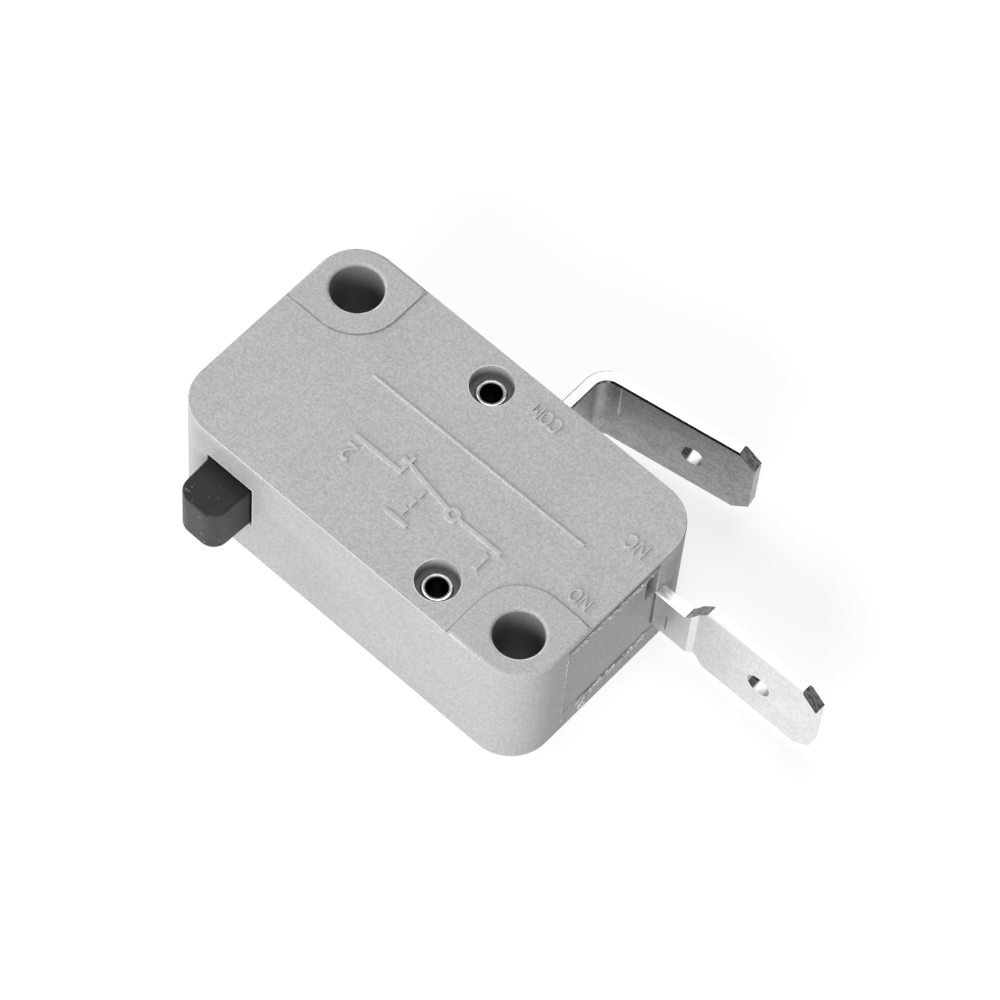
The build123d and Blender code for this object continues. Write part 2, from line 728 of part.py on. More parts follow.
# Normally closed terminal: inner plate, root through the end wall, joggle and tab
joggle_lag = strip * tan(atan2(joggle_step, joggle_length) / 2)
joggle_x = half_length + joggle_start
nc_tip = half_length + nc_tab_out
nc_tab_face = nc_face + joggle_step
plate_start = contact_x - nc_inner_back
with BuildPart() as nc_terminal:
    with BuildSketch(Plane.XY.offset(tab_low)):
        with BuildLine():
            Polyline(
                (plate_start, nc_face),
                (joggle_x, nc_face),
                (joggle_x + joggle_length, nc_tab_face),
                (nc_tip, nc_tab_face),
                (nc_tip, nc_tab_face + strip),
                (joggle_x + joggle_length - joggle_lag, nc_tab_face + strip),
                (joggle_x - joggle_lag, nc_face + strip),
                (plate_start, nc_face + strip),
                close=True,
            )
        make_face()
    extrude(amount=tab_width)
    with BuildSketch(Plane.XZ):
        with BuildLine():
            Polyline(
                (plate_start, middle - plate_half),
                (inner_x - 2 * slot_gap, middle - plate_half),
                (inner_x - 2 * slot_gap, nc_root_low),
                (half_length + nc_lower_neck_out, nc_root_low),
                (half_length + nc_lower_neck_out + nc_lower_shoulder, tab_low),
                (nc_tip - tip_length, tab_low),
                (nc_tip, tab_low + tip_drop),
                (nc_tip, tab_high - tip_drop),
                (nc_tip - tip_length, tab_high),
                (half_length + nc_neck_out + nc_shoulder, tab_high),
                (half_length + nc_neck_out, nc_root_high),
                (inner_x - 2 * slot_gap, nc_root_high),
                (inner_x - 2 * slot_gap, middle + plate_half),
                (plate_start, middle + plate_half),
                close=True,
            )
        make_face()
        with Locations((nc_tip - tab_hole_back, middle)):
            Circle(tab_hole_radius, mode=Mode.SUBTRACT)
        with Locations((contact_x, middle)):
            Circle(contact_shank + shank_gap, mode=Mode.SUBTRACT)
    extrude(amount=case_width, both=True, mode=Mode.INTERSECT)
    nc_edges = nc_terminal.edges().filter_by(Axis.X)
    tab_sides = nc_edges.filter_by_position(Axis.X, half_length + nc_neck_out, nc_tip)
    chamfer(tab_sides.group_by(Axis.Z)[0] + tab_sides.group_by(Axis.Z)[-1], tab_bevel)
nc_terminal.part.label = "nc_terminal"
export_step(nc_terminal.part, "parts/nc_terminal.step")

# Fixed contact: flat silver head towards the lever, riveted over behind the plate
with BuildPart() as nc_fixed_contact:
    with BuildSketch(Plane.XY.offset(middle)):
        with BuildLine():
            Polyline(
                (contact_x, nc_face - fixed_head),
                (contact_x + fixed_head_radius - fixed_bevel, nc_face - fixed_head),
                (contact_x + fixed_head_radius, nc_face - fixed_head + fixed_bevel),
                (contact_x + fixed_head_radius, nc_face),
                (contact_x + contact_shank, nc_face),
                (contact_x + contact_shank, nc_face + strip),
                (contact_x + fixed_back_radius, nc_face + strip),
                (contact_x + fixed_back_radius - fixed_bevel, nc_face + strip + fixed_back_height),
                (contact_x, nc_face + strip + fixed_back_height),
                close=True,
            )
        make_face()
    revolve(axis=Axis((contact_x, 0, middle), (0, 1, 0)))
nc_fixed_contact.part.label = "nc_fixed_contact"
export_step(nc_fixed_contact.part, "parts/nc_fixed_contact.step")

# Stop in the place of a normally open contact
stop_face = nc_face - stop_pitch + stop_thickness
with BuildPart() as no_blank_stop:
    with BuildSketch(Plane.XZ.offset(-stop_face)):
        with Locations(((plate_start + inner_x - slot_gap) / 2, middle)):
            Rectangle(inner_x - slot_gap - plate_start, 2 * plate_half)
    extrude(amount=stop_thickness)
    with BuildSketch(Plane.XZ.offset(-stop_face)):
        with Locations((open_x, middle)):
            Circle(stop_pad_radius)
    extrude(amount=-(open_y - touch_gap - stop_face))
no_blank_stop.part.label = "no_blank_stop"
export_step(no_blank_stop.part, "parts/no_blank_stop.step")
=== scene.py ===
"""Looks of a snap-action micro switch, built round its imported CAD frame."""

import json
import logging
import math
import random
from dataclasses import dataclass, field
from enum import Enum
from typing import Any, Callable, Iterable, Sequence

import bpy
from mathutils import Matrix, Vector


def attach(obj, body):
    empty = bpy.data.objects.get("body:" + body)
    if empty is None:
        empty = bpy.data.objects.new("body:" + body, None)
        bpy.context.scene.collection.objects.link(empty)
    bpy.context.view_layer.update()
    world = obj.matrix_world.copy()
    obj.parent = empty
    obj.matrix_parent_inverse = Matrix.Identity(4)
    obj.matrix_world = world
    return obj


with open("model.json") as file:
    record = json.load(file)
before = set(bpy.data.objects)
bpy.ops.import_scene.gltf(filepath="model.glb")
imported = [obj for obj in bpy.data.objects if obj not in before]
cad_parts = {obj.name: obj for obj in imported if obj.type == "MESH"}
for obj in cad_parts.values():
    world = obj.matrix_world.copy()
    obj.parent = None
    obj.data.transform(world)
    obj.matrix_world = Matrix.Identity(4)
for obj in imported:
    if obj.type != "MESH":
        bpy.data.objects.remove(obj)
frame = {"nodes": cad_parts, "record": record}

LOG = logging.getLogger("micro_switch")
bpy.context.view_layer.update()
MM = 0.001
# Part of a face's normal along an axis, from which it counts as facing that way
FACING = 0.9

Point = tuple[float, float, float]
Flat = tuple[float, float]
Colour = tuple[float, float, float]


class Place(Enum):
    """CAD bodies that pieces ride on."""

    CASE = "case"


class Reading(Enum):
    """What a material reads at each point of a surface."""

    PLACE = "Object"
    NORMAL = "Normal"


def clear_selection() -> None:
    """Leaves edit mode and deselects every object."""
    if bpy.context.object is not None and bpy.context.object.mode != "OBJECT":
        bpy.ops.object.mode_set(mode="OBJECT")
    bpy.ops.object.select_all(action="DESELECT")


def pick(piece: bpy.types.Object) -> bpy.types.Object:
    """Makes one object the only selected and the active one.

    Args:
        piece: The object to select.

    Returns:
        The same object.
    """
    clear_selection()
    piece.select_set(True)
    bpy.context.view_layer.objects.active = piece
    return piece


def settle(piece: bpy.types.Object) -> bpy.types.Object:
    """Moves an object's place, turn and scale into its mesh.

    Args:
        piece: The object to settle.

    Returns:
        The same object, at the origin.
    """
    pick(piece)
    bpy.ops.object.transform_apply(location=True, rotation=True, scale=True)
    return piece


def finish_modifiers(piece: bpy.types.Object) -> None:
    """Applies all modifiers of an object, in order.

    Args:
        piece: The object whose modifiers are applied.
    """
    pick(piece)
    for modifier in list(piece.modifiers):
        bpy.ops.object.modifier_apply(modifier=modifier.name)


def join(pieces: Sequence[bpy.types.Object], name: str) -> bpy.types.Object:
    """Joins several objects into one.

    Args:
        pieces: The objects to join.
        name: Name of the joined object and its mesh.

    Returns:
        The joined object.
    """
    clear_selection()
    for piece in pieces:
        piece.select_set(True)
    bpy.context.view_layer.objects.active = pieces[0]
    if len(pieces) > 1:
        bpy.ops.object.join()
    joined = bpy.context.object
    joined.name = name
    joined.data.name = name
    return joined


def coat(piece: bpy.types.Object, material: bpy.types.Material) -> None:
    """Gives an object one material."""
    piece.data.materials.clear()
    piece.data.materials.append(material)


def edit_faces(piece: bpy.types.Object, wanted: Callable[[bpy.types.MeshPolygon], bool]) -> None:
    """Enters edit mode with only some faces of the active object selected.

    Args:
        piece: The active object.
        wanted: Test that the selected faces pass.
    """
    bpy.ops.object.mode_set(mode="EDIT")
    bpy.ops.mesh.select_mode(type="FACE")
    bpy.ops.mesh.select_all(action="DESELECT")
    bpy.ops.object.mode_set(mode="OBJECT")
    for face in piece.data.polygons:
        face.select = wanted(face)
    bpy.ops.object.mode_set(mode="EDIT")


def spans(corners: Sequence[Vector]) -> tuple[Flat, Flat]:
    """Lowest and highest of some corners, along X and along Y."""
    return tuple((min(c[axis] for c in corners), max(c[axis] for c in corners)) for axis in range(2))


class Signal:
    """A number on a material's wires, with arithmetic that adds Math nodes."""

    def __init__(self, tree: "NodeTree", socket: bpy.types.NodeSocket) -> None:
        """Wraps an output socket of a tree."""
        self.tree = tree
        self.socket = socket

    def math(self, operation: str, *others: Any) -> "Signal":
        """Result of a Math node on this signal and then the others."""
        return self.tree.math(operation, self, *others)

    def __add__(self, other: Any) -> "Signal":
        """Sum with a number or signal."""
        return self.math("ADD", other)

    __radd__ = __add__

    def __mul__(self, other: Any) -> "Signal":
        """Product with a number or signal."""
        return self.math("MULTIPLY", other)

    __rmul__ = __mul__

    def __sub__(self, other: Any) -> "Signal":
        """Difference to a number or signal."""
        return self.math("SUBTRACT", other)

    def __rsub__(self, other: Any) -> "Signal":
        """Difference of a number and this signal."""
        return self.tree.math("SUBTRACT", other, self)

    def __abs__(self) -> "Signal":
        """Size of the number without its sign."""
        return self.math("ABSOLUTE")

    def step(self, low: float, high: float) -> "Signal":
        """Smooth rise from 0 to 1.

        Args:
            low: Value where the rise starts.
            high: Value where it ends, which may be below low for a fall.

        Returns:
            The stepped signal.
        """
        node = self.tree.add(
            "ShaderNodeMapRange",
            {"interpolation_type": "SMOOTHSTEP"},
            {"Value": self, "From Min": low, "From Max": high, "To Min": 0.0, "To Max": 1.0},
        )
        return Signal(self.tree, node.outputs["Result"])


class NodeTree:
    """Node tree that its nodes are added to by one method."""

    def __init__(self, tree: bpy.types.NodeTree) -> None:
        """Takes the tree of a material or a world and empties it."""
        self.tree = tree
        self.tree.nodes.clear()

    def add(
        self,
        kind: str,
        settings: dict[str, Any] | None = None,
        inputs: dict[str | int, Any] | None = None,
    ) -> bpy.types.Node:
        """Adds a node.

        Args:
            kind: The node's type.
            settings: Attributes, set first.
            inputs: Values, sockets or signals of its input sockets.

        Returns:
            The new node.
        """
        node = self.tree.nodes.new(kind)
        for key, value in (settings or {}).items():
            setattr(node, key, value)
        for key, value in (inputs or {}).items():
            self.feed(node.inputs[key], value)
        return node

    def feed(self, socket: bpy.types.NodeSocket, value: Any) -> None:
        """Sets or links an input socket.

        Args:
            socket: The input socket.
            value: A number, vector, colour, output socket or signal.
        """
        if isinstance(value, Signal):
            self.tree.links.new(value.socket, socket)
        elif isinstance(value, bpy.types.NodeSocket):
            self.tree.links.new(value, socket)
        elif socket.type == "RGBA" and len(value) == 3:
            socket.default_value = (*value, 1.0)
        else:
            socket.default_value = value

    def math(self, operation: str, *values: Any) -> Signal:
        """Result of a new Math node on numbers or signals."""
        node = self.add("ShaderNodeMath", {"operation": operation}, dict(enumerate(values)))
        return Signal(self, node.outputs["Value"])

    def backdrop_rays(self) -> Signal:
        """Signal that is 1 for the rays of the eye, of metal and of glass."""
        path = self.add("ShaderNodeLightPath")
        rays = Signal(self, path.outputs["Is Camera Ray"])
        for name in ("Is Glossy Ray", "Is Transmission Ray"):
            rays = rays.math("MAXIMUM", path.outputs[name])
        return rays


class ShaderTree(NodeTree):
    """Node tree of one material, with its Principled shader."""

    def __init__(self, name: str) -> None:
        """Makes the material.

        Args:
            name: Name of the material.
        """
        self.material = bpy.data.materials.new(name)
        self.material.use_nodes = True
        super().__init__(self.material.node_tree)
        self.shader = self.add("ShaderNodeBsdfPrincipled")
        self.add("ShaderNodeOutputMaterial", inputs={"Surface": self.shader.outputs["BSDF"]})
        self.coordinates = self.add("ShaderNodeTexCoord")

    def axes(self, reading: Reading = Reading.PLACE) -> tuple[Signal, Signal, Signal]:
        """Axes of the object's coordinates, in metres, or of its normal."""
        node = self.add("ShaderNodeSeparateXYZ", inputs={"Vector": self.coordinates.outputs[reading.value]})
        return tuple(Signal(self, node.outputs[axis]) for axis in "XYZ")

    def mapped(self, per_mm: float, stretch: Point, shift: Point) -> bpy.types.NodeSocket:
        """Scales the object's coordinates.

        Args:
            per_mm: Cycles for each millimetre.
            stretch: Extra scale along each axis.
            shift: Shift in cycles.

        Returns:
            The scaled vector.
        """
        scale = tuple(per_mm / MM * factor for factor in stretch)
        inputs = {"Vector": self.coordinates.outputs["Object"], "Scale": scale, "Location": shift}
        return self.add("ShaderNodeMapping", inputs=inputs).outputs["Vector"]

    def noise(
        self,
        per_mm: float,
        detail: float = 2.0,
        roughness: float = 0.5,
        stretch: Point = (1.0, 1.0, 1.0),
        shift: Point = (0.0, 0.0, 0.0),
    ) -> Signal:
        """Adds noise on the object's coordinates.

        Args:
            per_mm: Cycles for each millimetre.
            detail: Octaves.
            roughness: Strength of the finer octaves.
            stretch: Extra scale along each axis.
            shift: Shift in cycles, so that two noises differ.

        Returns:
            Noise between about 0 and 1.
        """
        inputs = {
            "Vector": self.mapped(per_mm, stretch, shift),
            "Scale": 1.0,
            "Detail": detail,
            "Roughness": roughness,
        }
        return Signal(self, self.add("ShaderNodeTexNoise", inputs=inputs).outputs["Fac"])

    def cells(self, per_mm: float, shift: Point = (0.0, 0.0, 0.0)) -> Signal:
        """Distance to points scattered over each millimetre, in cells."""
        inputs = {"Vector": self.mapped(per_mm, (1.0, 1.0, 1.0), shift), "Scale": 1.0}
        return Signal(self, self.add("ShaderNodeTexVoronoi", inputs=inputs).outputs["Distance"])

    def tint(self, factor: Any, first: Any, second: Any) -> bpy.types.NodeSocket:
        """Mixes two colours.

        Args:
            factor: Share of the second colour.
            first: Colour or socket at 0.
            second: Colour or socket at 1.

        Returns:
            The mixed colour.
        """
        node = self.add("ShaderNodeMix", {"data_type": "RGBA"})
        self.feed(node.inputs["Factor"], factor)
        colours = [socket for socket in node.inputs if socket.type == "RGBA"]
        self.feed(colours[0], first)
        self.feed(colours[1], second)
        return next(socket for socket in node.outputs if socket.type == "RGBA")

    def relief(self, *layers: tuple[Signal, float]) -> None:
        """Feeds the shader's normal from stacked bumps.

        Args:
            layers: Pairs of height signal and depth in millimetres.
        """
        normal: Any = None
        for height, depth in layers:
            inputs: dict[str | int, Any] = {"Height": height, "Distance": depth * MM, "Strength": 1.0}
            if normal is not None:
                inputs["Normal"] = normal
            normal = self.add("ShaderNodeBump", inputs=inputs).outputs["Normal"]
        self.feed(self.shader.inputs["Normal"], normal)

    def surface(self, **values: Any) -> bpy.types.Material:
        """Sets the shader's sockets.

        Args:
            values: Socket names with underscores, and their values or links.

        Returns:
            The material.
        """
        for key, value in values.items():
            self.feed(self.shader.inputs[key.replace("_", " ")], value)
        return self.material


def grey(tone: float) -> Colour:
    """Neutral colour of a linear tone."""
    return (tone, tone, tone)


@dataclass(frozen=True)
class Hollow:
    """A round hole that darkens with its depth, in millimetres.

    The darkening of the wall is painted shade. The rim is a painted highlight, a pale edge, on the near side
    only where one is given. Ragged is how far the wall's outline wanders. The shade fades again over the
    height of lower_fade above the lower mouth.
    """

    centre: Flat
    radius: float
    top: float
    depth: float
    shade: float
    floor_tone: float = 0.045
    rim: float = 0.0
    rim_tone: float = 0.9
    near_side: Flat = (0.0, 0.0)
    ragged: float = 0.0
    mouth: float = -3.0
    lower_fade: float = 3.0

    def apply(self, tree: ShaderTree, colour: Any) -> bpy.types.NodeSocket:
        """Colours the hole's wall with painted shade and its rim with a painted highlight.

        Args:
            tree: The material's tree.
            colour: The colour outside the hole.

        Returns:
            The mixed colour.
        """
        x, y, z = tree.axes()
        across, along = x - self.centre[0] * MM, y - self.centre[1] * MM
        away = (across * across + along * along).math("SQRT")
        if self.ragged > 0:
            away = away + (tree.noise(3.5, 2.0, 0.7, shift=(1.0, 6.0, 2.0)) - 0.5) * (self.ragged * MM)
        if self.rim > 0:
            # Painted highlight along the rim, broken up by noise, on the near side only where one is given
            inner, outer = self.radius + self.rim * 0.7, self.radius + self.rim
            rim_glint = tree.noise(1.2, 2.0, 0.6, shift=(4.0, 4.0, 4.0)).step(0.3, 0.6)
            if any(self.near_side):
                inner, outer = outer, self.radius + self.rim * 1.7
                toward = across * self.near_side[0] + along * self.near_side[1]
                rim_glint = rim_glint * toward.step(self.radius * 0.2 * MM, self.radius * 0.8 * MM)
            ring = away.step(outer * MM, inner * MM) * z.step((self.top - self.rim) * MM, self.top * MM)
            colour = tree.tint(ring * rim_glint * 0.8, colour, grey(self.rim_tone))
        # Painted shade down the wall, fading out again near the lower mouth
        wall = away.step(self.radius * 1.04 * MM, self.radius * 1.01 * MM)
        deep = z.step((self.top - self.rim) * MM, (self.top - self.depth) * MM)
        deep = deep * z.step(self.mouth * MM, (self.mouth + self.lower_fade) * MM)
        return tree.tint(wall * deep * self.shade, colour, grey(self.floor_tone))


@dataclass(frozen=True)
class CornerPad:
    """Outline of a raised pad round a fixing hole, with painted shade along its foot."""

    centre: Flat
    radius: float = 3.1
    top: float = 10.12
    line: float = 0.09
    shade: float = 0.6

    def apply(self, tree: ShaderTree, colour: Any) -> bpy.types.NodeSocket:
        """Darkens a colour along the pad's foot.

        Args:
            tree: The material's tree.
            colour: The colour elsewhere.

        Returns:
            The mixed colour.
        """
        x, y, z = tree.axes()
        inward = [-math.copysign(1.0, value) for value in self.centre]
        across = ((x - self.centre[0] * MM) * inward[0]).math("MAXIMUM", 0.0)
        along = ((y - self.centre[1] * MM) * inward[1]).math("MAXIMUM", 0.0)
        rim = (across * across + along * along).math("SQRT") - self.radius * MM
        # Painted shade in the crease at the pad's foot
        band = rim.step(-0.02 * MM, 0.02 * MM) * rim.step(self.line * MM, self.line * 0.6 * MM)
        face = z.step(self.top * MM, (self.top + 0.03) * MM)
        return tree.tint(band * face * self.shade, colour, grey(0.08))


@dataclass(frozen=True)
class StainAndPaintedLight:
    """A box inside which a surface is stained, or painted with shade or a highlight, in millimetres.

    Soft is half the width of its edge. Break_up is the patches and specks the specks for each millimetre,
    and 0 leaves an even cover.
    """

    low: Point
    high: Point
    tone: float
    share: float
    soft: float = 0.03
    break_up: float = 0.0
    specks: float = 0.0

    def apply(self, tree: ShaderTree, colour: Any) -> bpy.types.NodeSocket:
        """Colours the inside of the box.

        Args:
            tree: The material's tree.
            colour: The colour elsewhere.

        Returns:
            The mixed colour.
        """
        inside: Any = self.share
        for axis, low, high in zip(tree.axes(), self.low, self.high):
            inside = axis.step((low - self.soft) * MM, (low + self.soft) * MM) * inside
            inside = axis.step((high + self.soft) * MM, (high - self.soft) * MM) * inside
        if self.break_up > 0:
            inside = tree.noise(self.break_up, 2.0, 0.6, shift=(7.0, 3.0, 5.0)).step(0.4, 0.55) * inside
        if self.specks > 0:
            inside = tree.cells(self.specks, shift=(0.3, 0.3, 0.3)).step(0.35, 0.15) * inside
        return tree.tint(inside, colour, grey(self.tone))


@dataclass(frozen=True)
class LitAndShadedSides:
    """Sides of raised marks, with a painted highlight on the side toward the light and painted shade on the
    other side.
    """

    away_from_light: Flat = (0.6, 0.8)
    shade_tone: float = 0.1
    shade_share: float = 0.75
    lit_tone: float = 0.8
    lit_share: float = 0.6

    def apply(self, tree: ShaderTree, colour: Any) -> bpy.types.NodeSocket:
        """Colours the marks' sides.

        Args:
            tree: The material's tree.
            colour: The colour of the marks' tops.

        Returns:
            The mixed colour.
        """
        x, y, upward = tree.axes(Reading.NORMAL)
        side = upward.step(0.97, 0.8)
        facing = x * self.away_from_light[0] + y * self.away_from_light[1]
        # Painted highlight on the sides facing the light, then painted shade on the sides facing away
        colour = tree.tint(side * facing.step(0.05, -0.4) * self.lit_share, colour, grey(self.lit_tone))
        return tree.tint(side * facing.step(0.0, 0.4) * self.shade_share, colour, grey(self.shade_tone))


@dataclass(frozen=True)
class PaintedEdgeHighlight:
    """Rounded edge over the face that the plunger leaves, with a painted highlight: a pale line that fades
    along X.
    """

    face: float
    fade: Flat
    tone: float = 0.85
    share: float = 0.5

    def apply(self, tree: ShaderTree, colour: Any) -> bpy.types.NodeSocket:
        """Lightens the rounded edge.

        Args:
            tree: The material's tree.
            colour: The colour elsewhere.

        Returns:
            The mixed colour.
        """
        x, y, _ = tree.axes()
        _, _, upward = tree.axes(Reading.NORMAL)
        near = y.step((self.face + 0.9) * MM, (self.face + 0.5) * MM)
        kept = x.step(self.fade[1] * MM, self.fade[0] * MM)
        band = upward.step(0.3, 0.55) * upward.step(0.97, 0.85)
        return tree.tint(near * kept * band * self.share, colour, grey(self.tone))


@dataclass(frozen=True)
class PaintedDarkTop:
    """Level faces painted darker than the upright ones, as painted shade."""

    tone: float
    share: float

    def apply(self, tree: ShaderTree, colour: Any) -> bpy.types.NodeSocket:
        """Darkens the level faces and leaves the upright ones their colour."""
        _, _, upward = tree.axes(Reading.NORMAL)
        return tree.tint(abs(upward).step(0.6, 0.95) * self.share, colour, grey(self.tone))


@dataclass(frozen=True)
class MouldedPlastic:
    """Injection-moulded plastic with a fine spark-eroded grain."""

    name: str
    tone: float
    spread: float = 0.15
    roughness: float = 0.5
    specular: float = 0.35
    grain_mm: float = 0.004
    speck_tone: float = 0.8
    speck_share: float = 0.25
    speck_rarity: float = 0.6
    pit_share: float = 0.45
    marks: tuple[Any, ...] = ()

    def make(self) -> bpy.types.Material:
        """Builds the material.

        Returns:
            The finished material.
        """
        tree = ShaderTree(self.name)
        cloud = tree.noise(0.22, 3.0, 0.55)
        mottle = tree.noise(2.6, 3.0, 0.6, shift=(3.1, 7.7, 1.3))
        grain = tree.noise(7.0, 2.0, 0.7, shift=(9.0, 2.0, 5.0))
        flow = tree.noise(0.9, 2.0, 0.5, stretch=(0.25, 1.0, 1.0), shift=(0.0, 4.0, 8.0))
        blend = cloud * 0.1 + mottle * 0.15 + grain * 0.7 + flow * 0.05
        colour: Any = tree.tint(
            blend.step(0.36, 0.64),
            grey(self.tone * (1.0 - self.spread)),
            grey(self.tone * (1.0 + self.spread)),
        )
        specked = tree.noise(0.9, 1.0, 0.5, shift=(2.0, 2.0, 2.0))
        picked = specked.step(self.speck_rarity, self.speck_rarity + 0.06)
        speck = tree.cells(2.4, shift=(0.4, 0.1, 0.7)).step(0.2, 0.08) * picked * self.speck_share
        colour = tree.tint(speck, colour, grey(self.speck_tone))
        pitted = tree.noise(0.5, 1.0, 0.5, shift=(8.0, 1.0, 6.0)).step(0.55, 0.62)
        pit = tree.cells(0.9, shift=(0.2, 0.6, 0.3)).step(0.09, 0.04) * pitted * self.pit_share
        colour = tree.tint(pit, colour, grey(self.tone * 0.3))
        for mark in self.marks:
            colour = mark.apply(tree, colour)
        tree.relief((flow, 0.012), (mottle, self.grain_mm * 1.5), (grain, self.grain_mm))
        return tree.surface(
            Base_Color=colour,
            Roughness=self.roughness - 0.08 + 0.16 * grain,
            Specular_IOR_Level=self.specular,
        )


@dataclass(frozen=True)
class ScoreAndShadowLine:
    """A pressed line or painted shadow across a strip, by a point, the strip's direction and two ends, in mm.
    """

    x: float
    y: float
    along: Flat
    width: float
    low: float
    high: float
    tone: float

    def draw_over(self, tree: ShaderTree, colour: Any) -> bpy.types.NodeSocket:
        """Draws the line over a colour.

        Args:
            tree: The material's tree.
            colour: The colour beside the line.

        Returns:
            The mixed colour.
        """
        x, y, z = tree.axes()
        across = abs((x - self.x * MM) * self.along[0] + (y - self.y * MM) * self.along[1])
        band = across.step(self.width * MM, self.width * MM * 0.3)
        span = z.step(self.low * MM, (self.low + 0.3) * MM) * z.step(self.high * MM, (self.high - 0.3) * MM)
        return tree.tint(band * span * 0.85, colour, grey(self.tone))


@dataclass(frozen=True)
class PlatedStrip:
    """Rolled brass strip with a matt plating, bright long edges and torn corner cuts, carrying painted light:
    painted shade towards the root and on the cut facets, a painted reflection on the bevels and a painted
    highlight on the joggle.

    Tones are linear greys. The shoulders, the painted shade towards the root, the unshaded root and the
    stained part of the edges have their places along X, and stain_side along Y, in millimetres.
    """

    name: str
    heading: float
    tone: float = 0.84
    shade: float = 0.66
    edge_tone: float = 0.95
    bevel_tone: float = 0.8
    tip_tone: float = 0.12
    shoulder_end: float = 0.0
    shoulder_tone: float = 0.45
    root_shade_from: float = 24.0
    root_shade_to: float = 13.0
    root_shade_share: float = 0.0
    unshaded_root: float = 0.0
    bent_share: float = 0.0
    stain_end: float = 0.0
    stain_side: float = 0.0
    roughness: float = 0.3
    lines: tuple[ScoreAndShadowLine, ...] = ()

    def rolled(self, tree: ShaderTree, grains: Signal, streaks: Signal) -> Any:
        """Colours the wide faces, with painted shade that deepens towards the root and stops at the unshaded
        root.

        Args:
            tree: The material's tree.
            grains: Noise of the plating's crystals.
            streaks: Noise of the rolling marks.

        Returns:
            The colour.
        """
        x, _, _ = tree.axes()
        stains = tree.noise(0.5, 3.0, 0.6, shift=(1.0, 8.0, 3.0))
        blend = stains * 0.25 + grains * 0.6 + streaks * 0.15
        colour: Any = tree.tint(blend.step(0.38, 0.62), grey(self.shade), grey(self.tone))
        # Painted shade towards the root, which stops at the unshaded root
        root_shade = x.step(self.root_shade_from * MM, self.root_shade_to * MM) * self.root_shade_share
        root_shade = root_shade * x.step((self.unshaded_root - 0.8) * MM, (self.unshaded_root + 0.8) * MM)
        colour = tree.tint(root_shade, colour, grey(0.0))
        for line in self.lines:
            colour = line.draw_over(tree, colour)
        return colour

    def edge(self, tree: ShaderTree, torn: Signal) -> bpy.types.NodeSocket:
        """Colours the level long edges, which are stained at the root.

        Args:
            tree: The material's tree.
            torn: Noise of the torn cuts.

        Returns:
            The colour.
        """
        x, y, _ = tree.axes()
        stained = x.step((self.stain_end + 0.4) * MM, (self.stain_end - 0.6) * MM)
        stained = stained * (torn.step(0.3, 0.6) * 0.4 + 0.6)
        stained = stained * y.step(self.stain_side * MM, (self.stain_side + 0.08) * MM)
        return tree.tint(stained * 0.75, grey(self.edge_tone), grey(0.2))

    def make(self) -> bpy.types.Material:
        """Builds the material.

        Returns:
            The finished material.
        """
        tree = ShaderTree(self.name)
        streaks = tree.noise(6.0, 3.0, 0.6, stretch=(0.06, 0.06, 1.0))
        grains = tree.noise(4.5, 3.0, 0.7, shift=(5.0, 1.0, 9.0))
        torn = tree.noise(7.0, 3.0, 0.7, stretch=(0.3, 1.0, 0.3), shift=(4.0, 4.0, 0.0))
        x, _, _ = tree.axes()
        normal_x, normal_y, normal_z = tree.axes(Reading.NORMAL)
        heading = math.radians(self.heading)
        outward = normal_x * math.cos(heading) + normal_y * math.sin(heading)
        inward = normal_x * math.sin(heading) - normal_y * math.cos(heading)
        upright = abs(normal_z)
        colour = self.rolled(tree, grains, streaks)
        colour = tree.tint(upright.step(0.85, 0.95), colour, self.edge(tree, torn))
        # Painted reflection on the bevels: pale on the outward side, bevel_tone on the inward side
        bevel = upright.step(0.4, 0.6) * upright.step(0.9, 0.8) * abs(outward).step(0.3, 0.2)
        sides = tree.tint(inward.step(-0.3, 0.3), grey(0.9), grey(self.bevel_tone))
        colour = tree.tint(bevel, colour, sides)

        # Painted highlight on the joggle's slanted faces
        bent = abs(outward).step(0.3, 0.5) * abs(outward).step(0.9, 0.8) * upright.step(0.2, 0.1)
        colour = tree.tint(bent * self.bent_share, colour, grey(0.9))

        # Painted shade on the slanted cut facets, mottled as torn metal: dark at the tip, less dark on the
        # shoulders
        slanted = upright.step(0.3, 0.5)
        tip = outward.step(0.3, 0.5) * slanted
        rough = torn.step(0.3, 0.7)
        torn_tip_shade = tree.tint(rough, grey(self.tip_tone * 0.4), grey(self.tip_tone * 2.0))
        colour = tree.tint(tip, colour, torn_tip_shade)
        near = x.step((self.shoulder_end + 0.1) * MM, (self.shoulder_end - 0.1) * MM)
        shoulder = outward.step(-0.3, -0.5) * slanted * near
        torn_shoulder_shade = tree.tint(rough, grey(self.shoulder_tone * 0.7), grey(self.shoulder_tone * 1.4))
        colour = tree.tint(shoulder, colour, torn_shoulder_shade)
        tree.relief((streaks, 0.003), (grains, 0.005))
        return tree.surface(
            Base_Color=colour,
            Metallic=1.0,
            Roughness=self.roughness + 0.12 * grains + 0.1 * streaks + 0.3 * tip.math("MAXIMUM", shoulder),
        )


